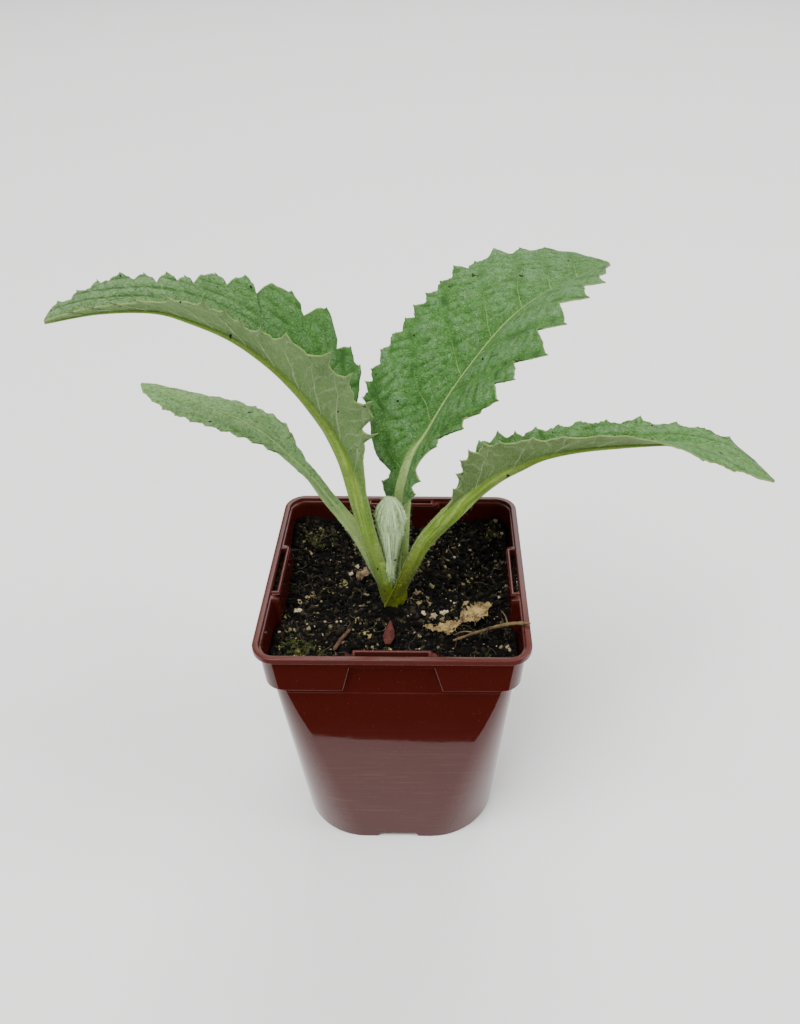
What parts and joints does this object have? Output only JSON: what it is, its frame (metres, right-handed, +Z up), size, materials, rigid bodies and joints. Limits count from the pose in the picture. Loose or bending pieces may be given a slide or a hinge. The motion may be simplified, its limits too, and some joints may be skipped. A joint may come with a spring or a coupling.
{
  "type": "potted globe artichoke seedling",
  "caption": "Young globe artichoke with arching toothed leaves, rooted in dark soil in a square dark red plastic nursery pot.",
  "frame": {"origin": "centre of the foot that the pot stands on", "axes": "+Z up, -Y towards the pot's front, +X to the right as seen from the front"},
  "size_m": [0.1977, 0.1157, 0.2113],
  "materials": {
    "pot_plastic": "glossy injection-moulded polypropylene, dark oxblood red, paler on the lip",
    "soil": "dark fibrous potting soil with perlite grains and bits of moss",
    "stem_green": "smooth olive-green stem tissue",
    "leaf_green": "matt grey-green leaf, puckered between pale veins, paler and woolly below",
    "leaf_down": "young leaf under a felt of white down",
    "dry_leaf": "dry, papery, speckled",
    "red_scrap": "dull red",
    "bark": "rough",
    "twig": "rough, weathered"
  },
  "bodies": {
    "root": {"pot": "pot_plastic", "soil": "soil", "crown": "stem_green", "leaf_left_large": "leaf_green", "leaf_right": "leaf_green", "leaf_left_small": "leaf_green", "leaf_back_tall": "leaf_green", "leaf_heart": "leaf_down", "dry_leaf": "dry_leaf", "red_scrap": "red_scrap", "bark_flake": "bark", "twig_long": "twig", "twig_short": "twig"}
  },
  "joints": []
}
